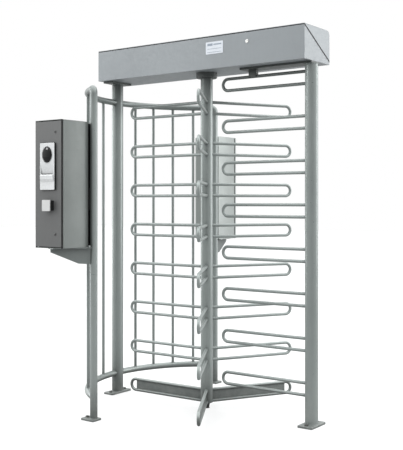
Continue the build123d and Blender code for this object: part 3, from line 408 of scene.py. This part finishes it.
class Shape:
    """Collects vertices and faces for one joined mesh."""

    def __init__(self):
        self.v, self.f = [], []

    def ring_tube(self, centres, normals_a, normals_b, radii, seg=12, closed=False):
        """Tube through centres with cross-section axes a, b and a radius each."""
        base = len(self.v)
        n = len(centres)
        for c, a, b, r in zip(centres, normals_a, normals_b, radii):
            for j in range(seg):
                t = 2 * math.pi * j / seg
                self.v.append(Vector(c) + Vector(a) * (r * math.cos(t)) + Vector(b) * (r * math.sin(t)))
        for i in range(n if closed else n - 1):
            k = (i + 1) % n
            for j in range(seg):
                q = (j + 1) % seg
                self.f.append((base + i * seg + j, base + i * seg + q, base + k * seg + q, base + k * seg + j))
        if not closed:
            self.f.append(tuple(base + j for j in reversed(range(seg))))
            self.f.append(tuple(base + (n - 1) * seg + j for j in range(seg)))

    def revolve(self, origin, axis, profile, seg=32):
        """Profile of (radius, height) turned about axis through origin; closed ends."""
        ax = Vector(axis).normalized()
        u = ax.orthogonal().normalized()
        w = ax.cross(u)
        base = len(self.v)
        rows = []
        for r, h in profile:
            if r < 1e-9:
                rows.append([len(self.v)])
                self.v.append(Vector(origin) + ax * h)
            else:
                rows.append([len(self.v) + j for j in range(seg)])
                for j in range(seg):
                    t = 2 * math.pi * j / seg
                    self.v.append(Vector(origin) + ax * h + u * (r * math.cos(t)) + w * (r * math.sin(t)))
        for a, b in zip(rows, rows[1:]):
            for j in range(seg):
                q = (j + 1) % seg
                if len(a) == 1 and len(b) == 1:
                    continue
                if len(a) == 1:
                    self.f.append((a[0], b[j], b[q]))
                elif len(b) == 1:
                    self.f.append((a[j], b[0], a[q]))
                else:
                    self.f.append((a[j], b[j], b[q], a[q]))
        for row, flip in ((rows[0], False), (rows[-1], True)):
            if len(row) > 1:
                self.f.append(tuple(reversed(row)) if flip else tuple(row))

    def prism(self, origin, x_dir, y_dir, outline, depth):
        """Outline of (x, y) points pushed out along x_dir cross y_dir."""
        x, y = Vector(x_dir).normalized(), Vector(y_dir).normalized()
        z = x.cross(y)
        base = len(self.v)
        n = len(outline)
        for h in (0.0, depth):
            for px, py in outline:
                self.v.append(Vector(origin) + x * px + y * py + z * h)
        self.f.append(tuple(base + i for i in reversed(range(n))))
        self.f.append(tuple(base + n + i for i in range(n)))
        for i in range(n):
            k = (i + 1) % n
            self.f.append((base + i, base + k, base + n + k, base + n + i))

    def box(self, lo, hi):
        x0, y0, z0 = lo
        x1, y1, z1 = hi
        self.prism((x0, y0, z0), (1, 0, 0), (0, 1, 0), [(0, 0), (x1 - x0, 0), (x1 - x0, y1 - y0), (0, y1 - y0)], z1 - z0)


def rounded(w, h, r, seg=5):
    pts = []
    for cx, cy, a0 in ((w / 2 - r, h / 2 - r, 0), (-w / 2 + r, h / 2 - r, 90), (-w / 2 + r, -h / 2 + r, 180), (w / 2 - r, -h / 2 + r, 270)):
        for i in range(seg + 1):
            a = math.radians(a0 + 90.0 * i / seg)
            pts.append((cx + r * math.cos(a), cy + r * math.sin(a)))
    return pts


# ---------------------------------------------------------------- dimensions shared with the frame, metres
MM = 0.001
COL_R, ARM_R, POST_R = 38.0 * MM, 9.5 * MM, 38.05 * MM
LEVEL = 258.0 * MM
LEFT_X, RIGHT_X = -742.0 * MM, 741.0 * MM


def weld(shape, centre, big_r, direction, tube_r, bead=2.3 * MM, seg=44):
    """Bead where a horizontal tube meets a vertical round post; centre is on the post's axis."""
    d = Vector(direction).normalized()
    up = Vector((0, 0, 1))
    side = up.cross(d)
    pts, na, nb, rr = [], [], [], []
    phase = rng.random() * 6.28
    for i in range(seg):
        t = 2 * math.pi * i / seg
        s = math.sqrt(max(1e-9, big_r ** 2 - (tube_r * math.sin(t)) ** 2))
        radial = up * math.cos(t) + side * math.sin(t)
        p = Vector(centre) + d * s + radial * tube_r
        pts.append(p)
        na.append(radial)
        nb.append(d)
        rr.append(bead * (1.0 + 0.16 * math.sin(11 * t + phase) + 0.07 * math.sin(23 * t)))
    shape.ring_tube(pts, na, nb, rr, seg=8, closed=True)


def ring_weld(shape, centre, radius, bead=2.6 * MM, seg=72):
    """Bead round the foot of a vertical post on a plate."""
    pts, na, nb, rr = [], [], [], []
    phase = rng.random() * 6.28
    for i in range(seg):
        t = 2 * math.pi * i / seg
        radial = Vector((math.cos(t), math.sin(t), 0))
        pts.append(Vector(centre) + radial * radius)
        na.append(radial)
        nb.append(Vector((0, 0, 1)))
        rr.append(bead * (1.0 + 0.14 * math.sin(24 * t + phase) + 0.06 * math.sin(41 * t)))
    shape.ring_tube(pts, na, nb, rr, seg=8, closed=True)


# places read from the frame
def corners(node):
    lo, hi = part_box(node)
    return [float(v) for v in lo], [float(v) for v in hi]


CAGE_POST_R = 22.25 * MM
(_, flo), (fhi, _) = [c[:2] for c in corners("front_cage_post")]
_, (rhi_x, rhi_y, _) = corners("rear_cage_post")
FRONT_POST = (fhi - CAGE_POST_R, flo + CAGE_POST_R)
REAR_POST = (rhi_x - CAGE_POST_R, rhi_y - CAGE_POST_R)
WINGS = (180.9, -59.1, 60.9)
base_lo, base_hi = corners("header_base")
cover_lo, cover_hi = corners("header_cover")
units = []
for side, sx in (("front", 1), ("rear", -1)):
    dlo, dhi = corners(side + "_reader_door")
    units.append((side, dlo[0] if sx == 1 else dhi[0], dlo[1] if sx == 1 else dhi[1], sx, dlo[2], dhi[2]))

# ---------------------------------------------------------------- weld beads
rotor_beads = Shape()
for ang in WINGS:
    a = math.radians(ang)
    for k in range(8):
        for z in (41.0 * MM, 112.0 * MM):
            weld(rotor_beads, (0, 0, z + LEVEL * k), COL_R, (math.cos(a), math.sin(a), 0), ARM_R)
make("rotor_weld_beads", rotor_beads.v, rotor_beads.f, "weld_paint", "rotor", crease=80)

comb_beads = Shape()
for k in range(8):
    for z in (171.0 * MM, 242.0 * MM):
        weld(comb_beads, (RIGHT_X, 0, z + LEVEL * k), POST_R, (-1, 0, 0), ARM_R)
for x, plate in ((LEFT_X, 12), (RIGHT_X, 12)):
    ring_weld(comb_beads, (x, 0, plate * MM), POST_R)
    ring_weld(comb_beads, (x, 0, 2088 * MM), POST_R)
for px, py in (FRONT_POST, REAR_POST):
    ring_weld(comb_beads, (px, py, 12 * MM), CAGE_POST_R, 2.0 * MM, 48)
make("frame_weld_beads", comb_beads.v, comb_beads.f, "weld_paint", "frame", crease=80)

# beads where the cage's bars meet its two rails
bar_beads = Shape()
for deg in (102.85, 114.3, 125.7, 137.1):
    for s in (1, -1):
        a = math.radians(deg)
        centre = Vector((-0.741 * math.sin(a), s * 0.741 * math.cos(a), 0))
        out = centre.normalized()
        along = Vector((0, 0, 1)).cross(out)
        for z, up in ((135 * MM, 1), (1963 * MM, -1)):
            pts, na, nb, rr = [], [], [], []
            for i in range(30):
                t = 2 * math.pi * i / 30
                radial = out * math.cos(t) + along * math.sin(t)
                h = math.sqrt((20 * MM) ** 2 - (9.5 * MM * math.cos(t)) ** 2)
                pts.append(centre + radial * 9.5 * MM + Vector((0, 0, z + up * h)))
                na.append(radial)
                nb.append(Vector((0, 0, 1)))
                rr.append(1.9 * MM * (1.0 + 0.15 * math.sin(9 * t)))
            bar_beads.ring_tube(pts, na, nb, rr, seg=7, closed=True)
make("cage_weld_beads", bar_beads.v, bar_beads.f, "weld_paint", "frame", crease=80)


# ---------------------------------------------------------------- floor anchors
def anchor(shape, x, y, z):
    """Washer and a low domed hex head."""
    shape.revolve((x, y, z), (0, 0, 1), [(0, 0), (13 * MM, 0), (13 * MM, 2.0 * MM), (12.5 * MM, 2.5 * MM), (0, 2.5 * MM)], 36)
    base = z + 2.5 * MM
    turn = rng.random() * 1.0
    circ = 9.0 * MM / math.cos(math.pi / 6)
    sides = 24
    b = len(shape.v)
    rows = []
    for h, shrink, hexed in ((0, 0.97, 1.0), (0.7 * MM, 1.0, 1.0), (5.2 * MM, 1.0, 1.0), (6.4 * MM, 0.93, 0.45), (7.2 * MM, 0.74, 0.0), (7.8 * MM, 0.42, 0.0)):
        row = []
        for i in range(sides):
            t = 2 * math.pi * i / sides
            d = (t % (math.pi / 3)) - math.pi / 6
            r_hex = circ * math.cos(math.pi / 6) / math.cos(d)
            r = (r_hex * hexed + circ * 0.93 * (1 - hexed)) * shrink
            row.append(len(shape.v))
            shape.v.append(Vector((x + r * math.cos(t + turn), y + r * math.sin(t + turn), base + h)))
        rows.append(row)
    for p, q in zip(rows, rows[1:]):
        for i in range(sides):
            k = (i + 1) % sides
            shape.f.append((p[i], p[k], q[k], q[i]))
    top = len(shape.v)
    shape.v.append(Vector((x, y, base + 8.1 * MM)))
    for i in range(sides):
        shape.f.append((rows[-1][i], rows[-1][(i + 1) % sides], top))
    shape.f.append(tuple(reversed(rows[0])))


anchors = Shape()
mounts = {m["name"]: m for m in frame["record"]["mounts"]}
spots = []
for name in ("left_base_bolts", "right_base_bolts"):
    m = mounts[name]
    half = m["dims"]["spacing_y_mm"] * MM / 2
    spots += [(m["pos_m"][0], -half), (m["pos_m"][0], half)]
spots += [tuple(mounts[name]["pos_m"][:2]) for name in ("front_cage_anchor", "rear_cage_anchor")]
for x, y in spots:
    anchor(anchors, x, y, 12 * MM)
make("floor_anchor_bolts", anchors.v, anchors.f, "anchor_zinc", "frame", crease=30)

# ---------------------------------------------------------------- reader units
for side, ox, oy, sx, dz0, dz1 in units:
    def at(u, v, z):
        return Vector((ox + sx * u * MM, oy + sx * v * MM, z))

    def span(shape, p, q):
        shape.box([min(i, j) for i, j in zip(p, q)], [max(i, j) for i, j in zip(p, q)])

    # seal on the casing's rim
    g = Shape()
    z0, z1 = dz0 + 4 * MM, dz1 - 4 * MM
    for (u0, a0), (u1, a1) in (((14, z0), (200, z0 + 4 * MM)), ((14, z1 - 4 * MM), (200, z1)),
                               ((14, z0 + 4 * MM), (18, z1 - 4 * MM)), ((196, z0 + 4 * MM), (200, z1 - 4 * MM))):
        span(g, at(u0, 14.6, a0), at(u1, 19.0, a1))
    make(side + "_door_gasket", g.v, g.f, "rubber_black", "frame", bevel=0.0008)

    # edge profile round the door's four sides, drawn as one closed strip: black on the front unit as painted shade for
    # the gap round the door, in the lighter rear casing paint on the rear unit as painted light
    t = Shape()
    lip = 0.7
    outer = [(-lip, dz0 - lip * MM), (208 + lip, dz0 - lip * MM), (208 + lip, dz1 + lip * MM), (-lip, dz1 + lip * MM)]
    inner = [(0.3, dz0 + 0.3 * MM), (207.7, dz0 + 0.3 * MM), (207.7, dz1 - 0.3 * MM), (0.3, dz1 - 0.3 * MM)]
    b = len(t.v)
    for v in (1.6, 13.4):
        for ring in (outer, inner):
            for u, z in ring:
                t.v.append(at(u, v, z))
    for i in range(4):
        k = (i + 1) % 4
        t.f += [(b + i, b + k, b + 4 + k, b + 4 + i), (b + 8 + i, b + 12 + i, b + 12 + k, b + 8 + k),
                (b + i, b + 8 + i, b + 8 + k, b + k), (b + 4 + i, b + 4 + k, b + 12 + k, b + 12 + i)]
    make(side + "_door_edge_profile", t.v, t.f, "rubber_black" if side == "front" else "rear_casing_lit_paint", side + "_door", bevel=0.0003)

    # oval window as a smooth cap, and the bezel that it sits in
    uc, zc, ru, rz = 109.0, 1563 * MM, 40.0, 46.5
    d = Shape()
    rows = []
    n = 56
    steps = [(1.0, -8.0), (1.0, -13.4), (0.985, -14.6)] + [(math.cos(p), -14.6 - 8.4 * math.sin(p)) for p in [math.radians(q) for q in (22, 32, 42, 52, 61, 70, 78, 84)]]
    for f, v in steps:
        row = []
        for i in range(n):
            a = 2 * math.pi * i / n
            row.append(len(d.v))
            d.v.append(at(uc + ru * f * math.cos(a), v, zc + rz * f * MM * math.sin(a)))
        rows.append(row)
    for p, q in zip(rows, rows[1:]):
        for i in range(n):
            k = (i + 1) % n
            d.f.append((p[i], p[k], q[k], q[i]))
    tip = len(d.v)
    d.v.append(at(uc, -23.0, zc))
    for i in range(n):
        d.f.append((rows[-1][i], rows[-1][(i + 1) % n], tip))
    d.f.append(tuple(reversed(rows[0])))
    cap = make(side + "_window_cap", d.v, d.f, "dome_black", side + "_door", crease=60)
    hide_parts(side + "_reader_dome")

    bz = Shape()
    base = len(bz.v)
    section = [(0.0, -12.6), (0.4, -14.2), (1.4, -15.0), (2.8, -14.6), (3.6, -13.4), (3.6, -12.6)]
    for i in range(n):
        a = 2 * math.pi * i / n
        for off, v in section:
            bz.v.append(at(uc + (ru + 0.2 + off) * math.cos(a), v, zc + (rz + 0.2 + off) * MM * math.sin(a)))
    m = len(section)
    for i in range(n):
        k = (i + 1) % n
        for j in range(m):
            l = (j + 1) % m
            bz.f.append((base + i * m + j, base + i * m + l, base + k * m + l, base + k * m + j))
    make(side + "_window_bezel", bz.v, bz.f, "reader_silver", side + "_door", crease=50)

    # black strip in the card slot's mouth, a dark piece that stands in for the shade inside the slot, and the plate's
    # black underlay that shows round its edge
    slot_piece = Shape()
    slot_piece.prism(at(108, -4.4, 1451 * MM), (sx, 0, 0), (0, 0, 1), [(x * MM, y * MM) for x, y in rounded(92, 4.4, 1.8)], 0.0012)
    make(side + "_card_mouth", slot_piece.v, slot_piece.f, "rubber_black", side + "_door", bevel=0.0003)
    under = Shape()
    ring_o, ring_i = rounded(118.6, 272.6, 6), rounded(115.4, 269.4, 5)
    b, m = 0, len(ring_o)
    for v in (0.0, -11.0):
        for ring in (ring_o, ring_i):
            for x, z in ring:
                under.v.append(at(108 + x, v, (1495 + z) * MM))
    for i in range(m):
        k = (i + 1) % m
        under.f += [(i, k, m + k, m + i), (2 * m + i, 3 * m + i, 3 * m + k, 2 * m + k),
                    (i, 2 * m + i, 2 * m + k, k), (m + i, m + k, 3 * m + k, 3 * m + i)]
    make(side + "_plate_underlay", under.v, under.f, "black_plastic", side + "_door", bevel=0.0004)

# ---------------------------------------------------------------- header seam and label
x0, x1 = base_lo[0], base_hi[0]
y0, y1 = base_lo[1], cover_hi[1]
y1 = base_hi[1] if base_hi[1] < 0.174 else 0.172
seam_front, seam_back = base_hi[2], 2116 * MM
seal = Shape()
ins, thick = 0.5 * MM, 2.0 * MM
seal.box((x0 + ins, y0 + ins, seam_front - 0.5 * MM), (x1 - ins, y0 + ins + thick, seam_front + 5.2 * MM))
seal.box((x0 + ins, y1 - ins - thick, seam_back - 0.5 * MM), (x1 - ins, y1 - ins, seam_back + 5.6 * MM))
for xa in (x0 + ins, x1 - ins - thick):
    seal.prism((xa, 0, 0), (0, 1, 0), (0, 0, 1),
               [(y0 + 3 * MM, seam_front - 3.0 * MM), (y1 - 3 * MM, seam_back + 1.0 * MM), (y1 - 3 * MM, seam_back + 7.2 * MM), (y0 + 3 * MM, seam_front + 2.6 * MM)], thick)
# a black strip proud of the +X end face over the seam: painted shade that widens the seam's dark line
for xa, xb in ((x1 + 0.05 * MM, x1 + 0.9 * MM),):
    seal.prism((xa, 0, 0), (0, 1, 0), (0, 0, 1),
               [(y0 + 1.5 * MM, seam_front - 3.6 * MM), (y1 - 1 * MM, seam_back - 1.6 * MM), (y1 - 1 * MM, seam_back + 8.4 * MM), (y0 + 1.5 * MM, seam_front + 6.2 * MM)], xb - xa)
make("cover_seal_and_seam_shade", seal.v, seal.f, "rubber_black", "frame", bevel=0.0003)

lab_lo, lab_hi = corners("label_plate")
ink = Shape()
yl = lab_lo[1]
for (ax, az), (bx, bz_) in (((0.012, 0.050), (0.050, 0.064)), ((0.056, 0.053), (0.114, 0.061)), ((0.012, 0.010), (0.114, 0.0125)),
                            ((0.012, 0.030), (0.114, 0.0325))):
    ink.box((lab_lo[0] + ax, yl - 0.00025, lab_lo[2] + az), (lab_lo[0] + bx, yl + 0.0004, lab_lo[2] + bz_))
make("label_bands", ink.v, ink.f, "label_ink", "frame", bevel=0.0001)

# ---------------------------------------------------------------- stage and light
def plane(name, size, loc, rot, mat):
    me = bpy.data.meshes.new(name)
    s = size / 2
    me.from_pydata([(-s, -s, 0), (s, -s, 0), (s, s, 0), (-s, s, 0)], [], [(0, 1, 2, 3)])
    me.materials.append(mat)
    ob = bpy.data.objects.new(name, me)
    ob.location = loc
    ob.rotation_euler = rot
    bpy.context.scene.collection.objects.link(ob)
    return ob


ft = Tree("stage_floor")
fn = ft.noise(0.7, 3.0, 0.5)
fr = ft.ramp(fn, "Fac", [(0.3, (0.93, 0.93, 0.93)), (0.7, (0.96, 0.96, 0.96))])
ft.link(fr, "Color", ft.bsdf, "Base Color")
ft.bsdf.inputs["Roughness"].default_value = 0.22
ft.bsdf.inputs["Specular IOR Level"].default_value = 0.35
glow = ft.add("ShaderNodeEmission")
glow.inputs["Color"].default_value = (1, 1, 1, 1)
glow.inputs["Strength"].default_value = 1.05
lit = ft.add("ShaderNodeMixShader")
lit.inputs[0].default_value = 0.55
ft.link(ft.bsdf, "BSDF", lit, 1)
ft.link(glow, "Emission", lit, 2)
dim = ft.add("ShaderNodeBsdfDiffuse")
dim.inputs["Color"].default_value = (0.34, 0.34, 0.34, 1)
seen = ft.add("ShaderNodeLightPath")
both = ft.add("ShaderNodeMixShader")
ft.link(seen, "Is Camera Ray", both, 0)
ft.link(dim, "BSDF", both, 1)
ft.link(lit, "Shader", both, 2)
ft.link(both, "Shader", ft.out, "Surface")
plane("stage_floor", 60.0, (0, 0, 0), (0, 0, 0), ft.mat)


def area(name, loc, target, size, power, color=(1, 1, 1)):
    d = bpy.data.lights.new(name, "AREA")
    d.shape = "RECTANGLE"
    d.size, d.size_y = size
    d.energy = power
    d.color = color
    ob = bpy.data.objects.new(name, d)
    ob.location = loc
    v = Vector(target) - Vector(loc)
    ob.rotation_euler = v.to_track_quat("-Z", "Y").to_euler()
    bpy.context.scene.collection.objects.link(ob)
    return ob


area("key_right", (4.1, 4.4, 2.4), (0, 0, 1.2), (2.2, 4.0), 98)
area("side_left", (-5.2, -0.6, 1.7), (0, 0, 1.0), (1.4, 4.0), 76)
area("top_soft", (0.0, 0.2, 6.0), (0, 0, 0), (7.0, 7.0), 120)
area("front_box", (-3.7, -4.3, 3.3), (-0.47, -0.92, 1.56), (0.9, 0.8), 28)

# studio world: pure white where the camera looks past the object, a soft tent for the light:
# dark towards the viewer's side, bright to both sides, behind and above
world = bpy.data.worlds.new("studio")
bpy.context.scene.world = world
world.use_nodes = True
wt = world.node_tree
wt.nodes.clear()


def wadd(kind, **props):
    n = wt.nodes.new(kind)
    for k, v in props.items():
        setattr(n, k, v)
    return n


def wdot(vec):
    d = wadd("ShaderNodeVectorMath", operation="DOT_PRODUCT")
    d.inputs[1].default_value = vec
    wt.links.new(wcoord.outputs["Generated"], d.inputs[0])
    return d.outputs["Value"]


def wramp(value, lo, hi, stops):
    m = wadd("ShaderNodeMapRange")
    m.inputs["From Min"].default_value = lo
    m.inputs["From Max"].default_value = hi
    wt.links.new(value, m.inputs["Value"])
    r = wadd("ShaderNodeValToRGB")
    el = r.color_ramp.elements
    r.color_ramp.interpolation = "EASE"
    el[0].position, el[0].color = stops[0][0], (stops[0][1],) * 3 + (1,)
    el[1].position, el[1].color = stops[-1][0], (stops[-1][1],) * 3 + (1,)
    for p, c in stops[1:-1]:
        e = el.new(p)
        e.color = (c, c, c, 1)
    wt.links.new(m.outputs["Result"], r.inputs["Fac"])
    return r.outputs["Color"]


def wmath(op, a, b):
    m = wadd("ShaderNodeMath", operation=op)
    for i, v in enumerate((a, b)):
        if isinstance(v, (int, float)):
            m.inputs[i].default_value = v
        else:
            wt.links.new(v, m.inputs[i])
    return m.outputs[0]


wcoord = wadd("ShaderNodeTexCoord")
front_back = wramp(wdot((0.593, -0.805, 0.0)), -1.0, 1.0, [(0.0, 0.62), (0.45, 0.56), (0.70, 0.28), (1.0, 0.15)])
left_right = wramp(wdot((0.805, 0.593, 0.0)), -1.0, 1.0, [(0.0, 0.42), (0.22, 0.26), (0.42, 0.06), (0.60, 0.08), (0.82, 0.42), (1.0, 0.70)])
overhead = wramp(wdot((0.0, 0.0, 1.0)), 0.0, 1.0, [(0.0, 0.0), (0.22, 0.15), (0.45, 0.95), (0.75, 1.45), (1.0, 1.5)])
strength = wmath("ADD", wmath("ADD", front_back, left_right), wmath("MULTIPLY", overhead, 0.85))
soft = wadd("ShaderNodeBackground")
soft.inputs["Color"].default_value = (0.985, 1.0, 1.0, 1)
wt.links.new(strength, soft.inputs["Strength"])
white = wadd("ShaderNodeBackground")
white.inputs["Color"].default_value = (1, 1, 1, 1)
path = wadd("ShaderNodeLightPath")
mixw = wadd("ShaderNodeMixShader")
wo = wadd("ShaderNodeOutputWorld")
wt.links.new(path.outputs["Is Camera Ray"], mixw.inputs[0])
wt.links.new(soft.outputs[0], mixw.inputs[1])
wt.links.new(white.outputs[0], mixw.inputs[2])
wt.links.new(mixw.outputs[0], wo.inputs["Surface"])
